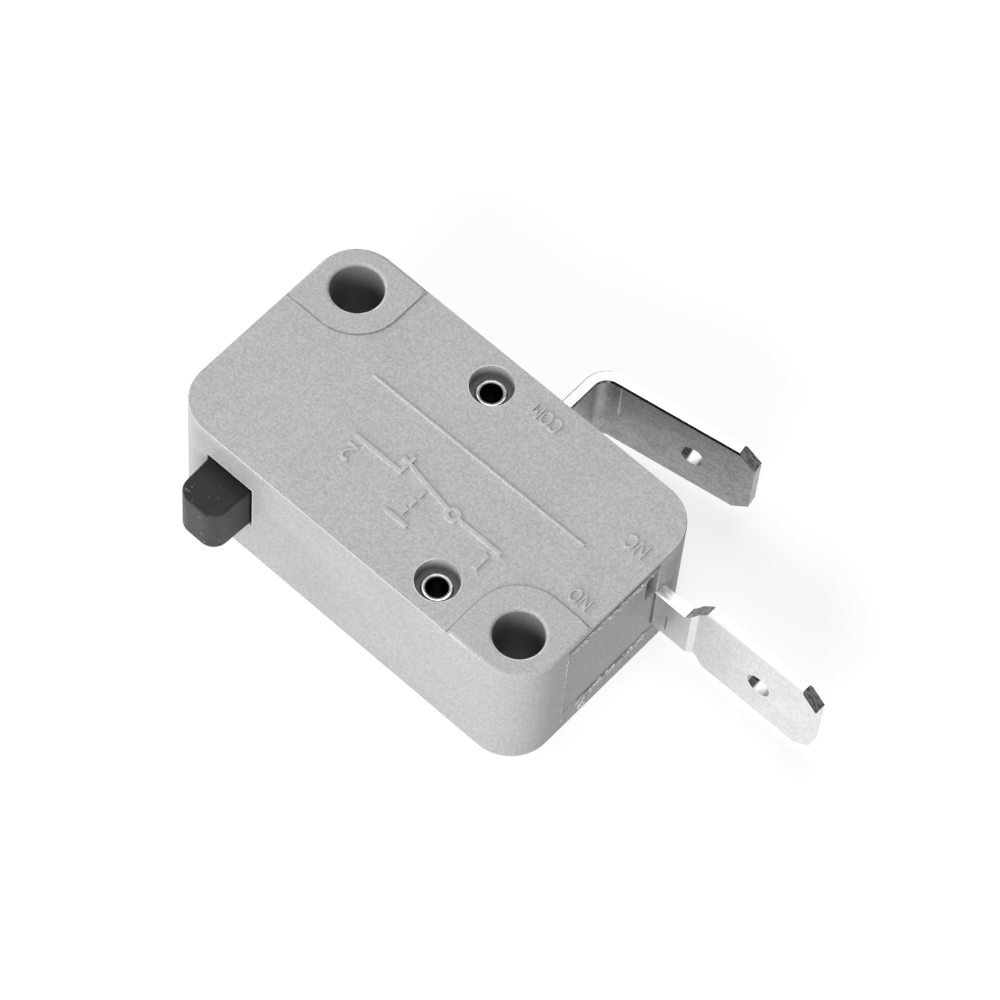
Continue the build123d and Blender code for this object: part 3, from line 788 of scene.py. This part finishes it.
@dataclass(frozen=True)
class BrightMetal:
    """Smooth drawn or turned metal with light handling marks."""

    name: str
    tone: float
    shade: float
    roughness: float
    ring_per_mm: float = 6.0
    tarnish_per_mm: float = 1.4
    bump_mm: float = 0.002
    hollows: tuple[Hollow, ...] = ()

    def make(self) -> bpy.types.Material:
        """Builds the material.

        Returns:
            The finished material.
        """
        tree = ShaderTree(self.name)
        turning = tree.noise(self.ring_per_mm, 2.0, 0.5, stretch=(0.15, 0.15, 1.0))
        tarnish = tree.noise(self.tarnish_per_mm, 3.0, 0.6, shift=(6.0, 2.0, 1.0))
        blend = turning * 0.3 + tarnish * 0.7
        colour: Any = tree.tint(blend.step(0.35, 0.6), grey(self.shade), grey(self.tone))
        for hollow in self.hollows:
            colour = hollow.apply(tree, colour)
        tree.relief((turning, self.bump_mm), (tarnish, self.bump_mm))
        return tree.surface(Base_Color=colour, Metallic=1.0, Roughness=self.roughness + 0.1 * tarnish)


def bore(name: str) -> tuple[Flat, float]:
    """Place and radius of one of the record's bores, in millimetres."""
    mount = next(entry for entry in frame["record"]["mounts"] if entry["name"] == name)
    return (mount["pos_m"][0] / MM, mount["pos_m"][1] / MM), mount["dims"]["r_mm"]


def node_place(name: str) -> Flat:
    """Middle of a CAD node on the marked face, in millimetres."""
    node = frame["nodes"][name]
    corners = [node.matrix_world @ Vector(corner) for corner in node.bound_box]
    return tuple((high + low) / 2 / MM for low, high in spans(corners))


BORES = (bore("fixing_hole_a"), bore("fixing_hole_b"))
RIVETS = (node_place("eyelet_upper"), node_place("eyelet_lower"))

# Painted shadow in the joints of the end wall: over the tongue, along the cover's edge and at its foot
JOINT_SHADOWS = (
    StainAndPaintedLight((13.0, -4.0, 9.54), (14.0, 3.9, 10.02), 0.05, 0.92, 0.04),
    StainAndPaintedLight((13.7, -2.9, 1.55), (14.0, 3.6, 1.98), 0.11, 0.6, 0.05, break_up=0.8),
    StainAndPaintedLight((13.7, -2.4, 1.14), (14.0, 3.7, 1.26), 0.09, 0.6, 0.03, break_up=1.1),
)
# The plunger's opening: painted shade as a grey smear above it, and painted highlights as pale edges of two
# of its sides
GUIDE_SHADE_AND_HIGHLIGHTS = (
    StainAndPaintedLight((-11.6, -8.2, 7.8), (-6.4, -7.6, 9.7), 0.3, 0.28, 0.35),
    StainAndPaintedLight((-10.75, -8.0, 7.72), (-7.05, -7.8, 7.82), 0.9, 0.4, 0.02),
    StainAndPaintedLight((-7.12, -8.0, 3.6), (-7.03, -7.8, 7.8), 0.9, 0.4, 0.02),
)
# The end terminal's slot: painted shade on its wall and on the corner of the case beside it
SLOT_SHADE = (
    StainAndPaintedLight((12.5, 3.82, 6.55), (13.88, 3.95, 9.9), 0.16, 0.6, 0.01),
    StainAndPaintedLight((12.0, 4.5, 4.5), (14.1, 5.8, 9.0), 0.1, 0.35, 0.5),
)
# Depth and share of the two shades in a fixing hole: just inside its mouth, and further down
HOLE_SHADES = ((0.4, 0.55), (6.0, 0.75))
# Radius, depth, share and tone of the two shades in a rivet: its funnel and its bore
RIVET_SHADES = ((0.82, 0.1, 0.8, 0.14), (0.66, 0.5, 0.8, 0.06))

# The raised marks get a painted highlight and painted shade on their sides
MARK_PLASTIC = MouldedPlastic("moulded_mark_grey", tone=0.49, marks=(LitAndShadedSides(),))
HOUSING_PLASTIC = MouldedPlastic(
    "moulded_housing_grey",
    tone=0.455,
    marks=(
        # Painted shade along the pads' feet, down the fixing holes and in the rivet recesses, with painted
        # highlights on their rims
        *(CornerPad(place) for place, _ in BORES),
        *(
            Hollow(place, radius, 10.3, depth, shade, 0.075, rim=0.1, near_side=(0.6, -0.8), mouth=0.5)
            for place, radius in BORES
            for depth, shade in HOLE_SHADES
        ),
        *(Hollow(place, 1.37, 10.2, 1.0, 0.7, rim=0.06, rim_tone=0.8) for place in RIVETS),
        *GUIDE_SHADE_AND_HIGHLIGHTS,
        # Painted highlight along the rounded edge over the plunger's face
        PaintedEdgeHighlight(-7.95, (6.0, 11.0)),
        *SLOT_SHADE,
        *JOINT_SHADOWS,
    ),
)
COVER_PLASTIC = MouldedPlastic(
    "moulded_cover_grey", tone=0.43, spread=0.2, grain_mm=0.006, speck_share=0.5, marks=JOINT_SHADOWS
)
FLASH_PLASTIC = MouldedPlastic("moulded_flash", tone=0.72, spread=0.35, roughness=0.6, grain_mm=0.02)
PLUNGER_PLASTIC = MouldedPlastic(
    "moulded_plunger_dark",
    tone=0.034,
    spread=0.45,
    roughness=0.45,
    specular=0.25,
    speck_tone=0.3,
    speck_share=0.8,
    speck_rarity=0.5,
    pit_share=0.0,
    marks=(
        # Painted shade: the plunger's level faces darker than its upright ones
        PaintedDarkTop(0.005, 0.85),
        # Painted shade over the part of the plunger near the case
        StainAndPaintedLight((-12.0, -8.7, 3.0), (-6.0, -7.0, 8.0), 0.004, 0.8, 0.55),
        StainAndPaintedLight((-10.2, -10.9, 7.0), (-9.3, -10.0, 7.7), 0.3, 0.5, 0.15, specks=4.2),
    ),
)
INNER_PLASTIC = MouldedPlastic("moulded_inner_natural", tone=0.6, roughness=0.45)
# Painted shade: the same plated brass as the end strip, given much darker tones, with a near black painted
# reflection on its inward bevels
COMMON_STRIP = PlatedStrip(
    "plated_strip_common",
    heading=10.0,
    tone=0.465,
    shade=0.285,
    bevel_tone=0.02,
    lines=(
        ScoreAndShadowLine(2.84, 10.95, (0.0, 1.0), 0.1, 4.2, 8.4, 0.4),
        ScoreAndShadowLine(4.0, 11.9, (0.985, 0.174), 0.09, 4.9, 8.4, 0.8),
    ),
)
END_STRIP = PlatedStrip(
    "plated_strip_end",
    heading=0.0,
    tone=0.885,
    shade=0.715,
    shoulder_end=19.0,
    stain_end=15.0,
    stain_side=3.88,
    # Painted shade towards the root, up to the unshaded root
    root_shade_share=0.32,
    unshaded_root=14.7,
    # Painted highlight on the joggle
    bent_share=0.6,
    lines=(
        ScoreAndShadowLine(15.0, 3.78, (1.0, 0.0), 0.07, 3.2, 5.2, 0.1),
        # Painted shadow where the strip comes out of the wall
        ScoreAndShadowLine(13.95, 3.78, (1.0, 0.0), 0.08, 2.6, 6.8, 0.06),
    ),
)
INNER_STRIP = PlatedStrip("plated_strip_lever", heading=22.0)
RIVET_METAL = BrightMetal(
    "plated_rivet",
    tone=0.95,
    shade=0.35,
    roughness=0.15,
    tarnish_per_mm=2.6,
    bump_mm=0.01,
    hollows=tuple(
        Hollow(place, radius, 9.6, depth, share, tone, ragged=0.12)
        for place in RIVETS
        for radius, depth, share, tone in RIVET_SHADES
    ),
)
SILVER = BrightMetal("contact_silver", tone=0.88, shade=0.7, roughness=0.2)
SPRING_STEEL = BrightMetal("spring_steel", tone=0.5, shade=0.35, roughness=0.25)


@dataclass
class Relief:
    """Raised marks in the moulded face, in millimetres, read with the plunger side up."""

    name: str
    base: float = 10.2
    rise: float = 0.1
    line: float = 0.2
    slope: float = 0.05
    letter_size: float = 1.5
    curve_steps: int = 6
    ring_sides: int = 40
    sharp_from: float = 50.0
    smooth_to: float = 40.0
    parts: list[bpy.types.Object] = field(default_factory=list)

    def word(self, text: str, low: Flat, high: Flat) -> None:
        """Adds raised letters that fill a rectangle.

        Args:
            text: The letters.
            low: Lowest corner of the rectangle, in millimetres.
            high: Highest corner.
        """
        clear_selection()
        bpy.ops.object.text_add()
        letters = bpy.context.object
        letters.data.body = text
        letters.data.extrude = self.rise / 2 * MM
        letters.data.size = self.letter_size * MM
        letters.data.resolution_u = self.curve_steps
        pick(letters)
        bpy.ops.object.convert(target="MESH")
        letters = bpy.context.object
        (left, right), (bottom, top) = spans([Vector(corner) for corner in letters.bound_box])
        wide = (high[0] - low[0]) * MM / (right - left)
        tall = (high[1] - low[1]) * MM / (top - bottom)
        centre = ((low[0] + high[0]) / 2 * MM, (low[1] + high[1]) / 2 * MM, (self.base + self.rise / 2) * MM)
        letters.data.transform(Matrix.Translation((-(right + left) / 2, -(top + bottom) / 2, 0.0)))
        letters.data.transform(Matrix.Diagonal((wide, tall, 1.0, 1.0)))
        letters.data.transform(Matrix.Rotation(math.pi, 4, "Z"))
        letters.data.transform(Matrix.Translation(centre))
        self.parts.append(letters)

    def bar(self, start: Flat, end: Flat) -> None:
        """Adds a raised line between two points.

        Args:
            start: First point, in millimetres.
            end: Last point.
        """
        run = Vector(end) - Vector(start)
        middle = (Vector(end) + Vector(start)) / 2
        clear_selection()
        bpy.ops.mesh.primitive_cube_add(
            size=1.0,
            location=(middle.x * MM, middle.y * MM, (self.base + self.rise / 2) * MM),
            rotation=(0.0, 0.0, math.atan2(run.y, run.x)),
            scale=((run.length + self.line) * MM, self.line * MM, self.rise * MM),
        )
        self.parts.append(settle(bpy.context.object))

    def ring(self, centre: Flat, radius: float) -> None:
        """Adds a raised circle.

        Args:
            centre: Its centre, in millimetres.
            radius: Its middle radius.
        """
        clear_selection()
        bpy.ops.mesh.primitive_cylinder_add(
            vertices=self.ring_sides,
            radius=(radius + self.line / 2) * MM,
            depth=self.rise * MM,
            location=(centre[0] * MM, centre[1] * MM, (self.base + self.rise / 2) * MM),
        )
        disc = settle(bpy.context.object)
        edit_faces(disc, lambda face: abs(face.normal.z) > FACING)
        bpy.ops.mesh.inset(thickness=self.line * MM, use_individual=True)
        bpy.ops.mesh.bridge_edge_loops()
        bpy.ops.object.mode_set(mode="OBJECT")
        self.parts.append(disc)

    def unite(self) -> None:
        """Merges the marks that touch into one solid."""
        first, *others = self.parts
        for other in others:
            union = first.modifiers.new("union", "BOOLEAN")
            union.operation = "UNION"
            union.solver = "EXACT"
            union.object = other
            finish_modifiers(first)
            pick(other)
            bpy.ops.object.delete()
        self.parts = [first]

    def finish(self, finish: MouldedPlastic) -> bpy.types.Object:
        """Joins the marks and rounds their upper edges.

        Args:
            finish: Plastic that they are moulded in.

        Returns:
            The finished piece.
        """
        marks = join(self.parts, self.name)
        rounding = marks.modifiers.new("rounding", "BEVEL")
        rounding.width = self.slope * MM
        rounding.segments = 2
        rounding.limit_method = "ANGLE"
        rounding.angle_limit = math.radians(self.sharp_from)
        finish_modifiers(marks)
        pick(marks)
        bpy.ops.object.shade_smooth_by_angle(angle=math.radians(self.smooth_to))
        coat(marks, finish.make())
        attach(marks, Place.CASE.value)
        return marks


@dataclass
class MarkedFace:
    """Raised generic marks of the housing's face, in millimetres.

    The symbol's parts have their places rightwards and up from its middle, as it is read. A numeral
    has its place and half its width.
    """

    words: tuple[tuple[str, Flat, Flat], ...] = (
        ("COM", (1.8, 5.85), (3.88, 6.85)),
        ("NC", (11.5, 3.2), (12.9, 4.2)),
        ("NO", (11.42, -1.55), (12.8, -0.6)),
    )
    divider: tuple[Flat, Flat] = ((-6.3, 1.52), (9.95, 1.66))
    symbol: Flat = (1.2, -2.1)
    ring: Flat = (-2.0, 0.0)
    ring_radius: float = 0.36
    wires: tuple[tuple[Flat, Flat], ...] = (
        ((-5.6, 0.0), (-2.45, 0.0)),
        ((-1.6, -0.07), (2.5, -0.8)),
        ((2.1, -1.15), (2.1, 0.0)),
        ((2.1, 0.0), (5.6, 0.0)),
    )
    stem: float = 0.2
    dash: Flat = (0.1, 0.4)
    dash_pitch: float = 0.75
    dashes: int = 3
    button: tuple[Flat, Flat] = ((-0.5, 2.4), (0.9, 2.4))
    numerals: tuple[tuple[str, float, float], ...] = (("1", -5.2, 0.18), ("2", 5.2, 0.36))
    numeral_rise: Flat = (0.55, 1.7)

    def read(self, place: Flat) -> Flat:
        """Turns a place in the symbol, as it is read, into the face's millimetres."""
        return (self.symbol[0] - place[0], self.symbol[1] - place[1])

    def contact_symbol(self) -> Relief:
        """Builds a contact that a button opens, with numbered wires.

        Returns:
            The symbol's marks, not yet joined.
        """
        symbol = Relief("raised_contact_symbol", line=0.24)
        symbol.ring(self.read(self.ring), self.ring_radius)
        for start, end in self.wires:
            symbol.bar(self.read(start), self.read(end))
        symbol.unite()
        first, last = self.dash
        for step in range(self.dashes):
            up = self.dash_pitch * step
            symbol.bar(self.read((self.stem, first + up)), self.read((self.stem, last + up)))
        symbol.bar(self.read(self.button[0]), self.read(self.button[1]))
        foot, head = self.numeral_rise
        for text, across, half in self.numerals:
            symbol.word(text, self.read((across + half, head)), self.read((across - half, foot)))
        return symbol

    def build(self) -> list[bpy.types.Object]:
        """Builds the words, the divider and the contact symbol.

        Returns:
            The pieces.
        """
        words = Relief("raised_terminal_words", slope=0.03)
        for text, low, high in self.words:
            words.word(text, low, high)
        divider = Relief("raised_divider")
        divider.bar(*self.divider)
        return [mark.finish(MARK_PLASTIC) for mark in (words, divider, self.contact_symbol())]


@dataclass(frozen=True)
class FlashLine:
    """Crumbs of squeezed-out plastic along a line on the end wall, in millimetres.

    A middling crumb has the length and width of size. Each keeps to the inset part of its own stretch
    of the line, is scattered, sized, tilted and crumpled by chance, and stands out by its rise.
    """

    name: str
    start: Flat
    end: Flat
    face: float
    crumbs: int
    size: Flat
    scatter: float
    seed: int
    rise: float = 0.035
    inset: Flat = (0.1, 0.9)
    sizes: Flat = (0.4, 1.5)
    tilt: float = 0.25
    crumple: float = 0.03

    def build(self) -> bpy.types.Object:
        """Builds the crumbs at uneven places and sizes, and crumples them.

        Returns:
            The line of crumbs.
        """
        chance = random.Random(self.seed)
        run = Vector(self.end) - Vector(self.start)
        aside = Vector((-run.y, run.x)).normalized()
        pieces = []
        for index in range(self.crumbs):
            along = (index + chance.uniform(*self.inset)) / self.crumbs
            middle = Vector(self.start) + run * along + aside * chance.uniform(-self.scatter, self.scatter)
            share = chance.uniform(*self.sizes)
            clear_selection()
            bpy.ops.mesh.primitive_cube_add(
                size=1.0,
                location=(self.face * MM, middle.x * MM, middle.y * MM),
                rotation=(math.atan2(run.y, run.x) + chance.uniform(-self.tilt, self.tilt), 0.0, 0.0),
                scale=(2 * self.rise * MM, self.size[0] * share * MM, self.size[1] * share * MM),
            )
            pieces.append(settle(bpy.context.object))
        line = join(pieces, self.name)
        pick(line)
        bpy.ops.object.mode_set(mode="EDIT")
        bpy.ops.mesh.select_all(action="SELECT")
        bpy.ops.mesh.subdivide(number_cuts=1)
        bpy.ops.transform.vertex_random(offset=self.crumple * MM, seed=self.seed)
        bpy.ops.object.mode_set(mode="OBJECT")
        return line


@dataclass
class EndPanel:
    """Moulding traces round the cover's tongue, in the housing's end window, in millimetres."""

    tongue_x: float = 13.84
    wall_x: float = 13.9
    gate: Flat = (-2.1, 0.6)
    gate_sides: int = 5
    gate_radius: float = 0.36
    gate_depth: float = 0.14
    gate_inset: float = 0.12
    gate_crumple: float = 0.06
    gate_seed: int = 9

    def lines(self) -> tuple[FlashLine, ...]:
        """Flash along the tongue's joints and the cover's edge."""
        tongue, wall = self.tongue_x, self.wall_x
        return (
            FlashLine("flash_upper_joint", (-3.5, 9.2), (3.5, 9.3), tongue, 34, (0.19, 0.16), 0.27, 3, 0.05),
            FlashLine("flash_left_joint", (-3.97, 9.55), (-3.95, 1), wall, 26, (0.4, 0.035), 0.01, 5, 0.012),
            FlashLine("flash_left_drop", (-3.96, 6.25), (-3.96, 6.15), wall, 1, (0.13, 0.13), 0.0, 1, 0.03),
            FlashLine("flash_pocket_edge", (3.93, 9.3), (3.93, 6.8), wall, 7, (0.4, 0.04), 0.01, 2, 0.012),
            FlashLine("flash_cover_edge", (-2.6, 1.54), (3.5, 1.66), wall, 56, (0.16, 0.12), 0.27, 7),
            FlashLine("flash_cover_foot", (-2.2, 1.15), (3.0, 1.25), wall, 22, (0.14, 0.07), 0.1, 8, 0.02),
        )

    def stub(self) -> bpy.types.Object:
        """Builds the broken stub of the gate that the cover was filled through.

        Returns:
            The stub.
        """
        clear_selection()
        bpy.ops.mesh.primitive_cylinder_add(
            vertices=self.gate_sides,
            radius=self.gate_radius * MM,
            depth=self.gate_depth * MM,
            location=(self.wall_x * MM, self.gate[0] * MM, self.gate[1] * MM),
            rotation=(0.0, math.pi / 2, 0.0),
        )
        stub = settle(bpy.context.object)
        edit_faces(stub, lambda face: face.normal.x > FACING)
        bpy.ops.mesh.inset(thickness=self.gate_inset * MM)
        bpy.ops.mesh.poke()
        bpy.ops.transform.vertex_random(offset=self.gate_crumple * MM, seed=self.gate_seed)
        bpy.ops.object.mode_set(mode="OBJECT")
        return join([stub], "gate_stub")

    def build(self) -> list[bpy.types.Object]:
        """Builds and dresses the traces.

        Returns:
            The pieces.
        """
        pieces = [line.build() for line in self.lines()] + [self.stub()]
        plastic = FLASH_PLASTIC.make()
        for piece in pieces:
            coat(piece, plastic)
            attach(piece, Place.CASE.value)
        return pieces


@dataclass
class DressedNodes:
    """CAD nodes that keep their shape and get their finish."""

    finishes: dict[str, Any] = field(
        default_factory=lambda: {
            "housing": HOUSING_PLASTIC,
            "back_cover": COVER_PLASTIC,
            "plunger": PLUNGER_PLASTIC,
            "eyelet_upper": RIVET_METAL,
            "eyelet_lower": RIVET_METAL,
            "common_terminal": COMMON_STRIP,
            "nc_terminal": END_STRIP,
            "nc_fixed_contact": SILVER,
            "moving_contact": SILVER,
            "contact_lever": INNER_STRIP,
            "actuating_rocker": INNER_PLASTIC,
            "no_blank_stop": INNER_PLASTIC,
            "rocker_pin": SPRING_STEEL,
            "hook_pin": SPRING_STEEL,
            "snap_spring": SPRING_STEEL,
        }
    )

    def build(self) -> list[bpy.types.Object]:
        """Dresses every node.

        Returns:
            The dressed nodes.
        """
        made: dict[str, bpy.types.Material] = {}
        for name, node in frame["nodes"].items():
            finish = self.finishes[name]
            if finish.name not in made:
                made[finish.name] = finish.make()
            coat(node, made[finish.name])
        return list(frame["nodes"].values())


@dataclass(frozen=True)
class Lamp:
    """A square lamp, with its place and side in millimetres and its power in watts."""

    name: str
    place: Point
    side: float
    power: float
    mirrored: bool = False

    def hang(self, target: Point) -> None:
        """Hangs the lamp, which metal mirrors only where that is asked for.

        Args:
            target: Point that it is turned to, in millimetres.
        """
        spot = Vector(self.place) * MM
        clear_selection()
        bpy.ops.object.light_add(type="AREA", location=spot)
        lamp = bpy.context.object
        lamp.name = self.name
        lamp.data.size = self.side * MM
        lamp.data.energy = self.power
        lamp.visible_glossy = self.mirrored
        aim = Vector(target) * MM - spot
        lamp.rotation_euler = aim.to_track_quat("-Z", "Y").to_euler()


@dataclass
class Studio:
    """Pale floor, soft lamps and the camera at the photograph's angle.

    Angles are in degrees, and the focal length is in thousandths of the picture's width. The offset is
    the frame's origin across, down and ahead of the camera, in millimetres as the target and the gap
    are, while the clip and the floor's side are in metres.
    """

    azimuth: float = 36.954
    elevation: float = 61.525
    roll: float = 6.017
    focal: float = 4913.81
    offset: Point = (-4.17118, 2.44286, 293.07045)
    sensor: float = 36.0
    clip: Flat = (0.01, 5.0)
    ambient: float = 0.11
    lamps: tuple[Lamp, ...] = (
        Lamp("front", (92.0, -299.0, 125.0), 260.0, 1.22),
        Lamp("left", (-330.0, -30.0, 95.0), 220.0, 0.9),
        Lamp("top", (-20.0, 40.0, 380.0), 260.0, 0.62, mirrored=True),
        Lamp("below", (0.0, 0.0, -380.0), 200.0, 0.6),
    )
    target: Point = (3.0, 2.0, 5.0)
    floor_side: float = 1.6
    floor_gap: float = 0.02
    floor_tone: float = 0.42
    floor_glow: float = 0.68

    def floor(self) -> bpy.types.Object:
        """Builds the floor, which is clear from below and lets the lower lamp through.

        Returns:
            The floor.
        """
        clear_selection()
        bpy.ops.mesh.primitive_plane_add(size=self.floor_side, location=(0.0, 0.0, -self.floor_gap * MM))
        floor = bpy.context.object
        floor.name = "floor"
        tree = ShaderTree("pale_floor")
        from_below = Signal(tree, tree.add("ShaderNodeNewGeometry").outputs["Backfacing"])
        clear = from_below.math("MAXIMUM", tree.add("ShaderNodeLightPath").outputs["Is Shadow Ray"])
        floor.data.materials.append(
            tree.surface(
                Base_Color=grey(self.floor_tone),
                Roughness=0.9,
                Specular_IOR_Level=0.0,
                Emission_Color=grey(1.0),
                Emission_Strength=tree.backdrop_rays() * self.floor_glow,
                Alpha=1.0 - clear,
            )
        )
        return floor

    def world(self) -> None:
        """Lights the air evenly, and shows it white to the camera and in metal."""
        world = bpy.data.worlds.new("studio_air")
        bpy.context.scene.world = world
        world.use_nodes = True
        tree = NodeTree(world.node_tree)
        strength = tree.backdrop_rays() * (1.0 - self.ambient) + self.ambient
        background = tree.add("ShaderNodeBackground", inputs={"Color": grey(1.0), "Strength": strength})
        tree.add("ShaderNodeOutputWorld", inputs={"Surface": background.outputs["Background"]})

    def camera(self) -> None:
        """Sets the camera up as the photograph was taken."""
        azimuth, elevation, roll = map(math.radians, (self.azimuth, self.elevation, self.roll))
        level = math.cos(elevation)
        back = Vector((math.sin(azimuth) * level, -math.cos(azimuth) * level, math.sin(elevation)))
        right = (-back).cross(Vector((0.0, 0.0, 1.0))).normalized()
        up = right.cross(-back)
        right, up = (
            math.cos(roll) * right + math.sin(roll) * up,
            math.cos(roll) * up - math.sin(roll) * right,
        )
        axes = Matrix((right, up, back)).transposed()
        across, down, ahead = (value * MM for value in self.offset)
        place = -(right * across - up * down - back * ahead)
        clear_selection()
        bpy.ops.object.camera_add()
        camera = bpy.context.object
        camera.matrix_world = Matrix.Translation(place) @ axes.to_4x4()
        camera.data.sensor_width = self.sensor
        camera.data.lens = self.focal / 1000.0 * self.sensor
        camera.data.clip_start, camera.data.clip_end = self.clip
        bpy.context.scene.camera = camera

    def build(self) -> None:
        """Builds the whole studio."""
        self.floor()
        self.world()
        for lamp in self.lamps:
            lamp.hang(self.target)
        self.camera()
        bpy.context.scene.view_settings.view_transform = "Standard"


def report(kind: str, pieces: Iterable[bpy.types.Object]) -> None:
    """Logs each piece with its faces.

    Args:
        kind: What the pieces belong to.
        pieces: The pieces.
    """
    for piece in pieces:
        LOG.info("%s: %s, %d faces", kind, piece.name, len(piece.data.polygons))


def main() -> None:
    """Builds the dressed switch and its studio."""
    logging.basicConfig(level=logging.INFO)
    report("CAD node", DressedNodes().build())
    report("marks", MarkedFace().build())
    report("end panel", EndPanel().build())
    Studio().build()


if __name__ == "__main__":
    main()
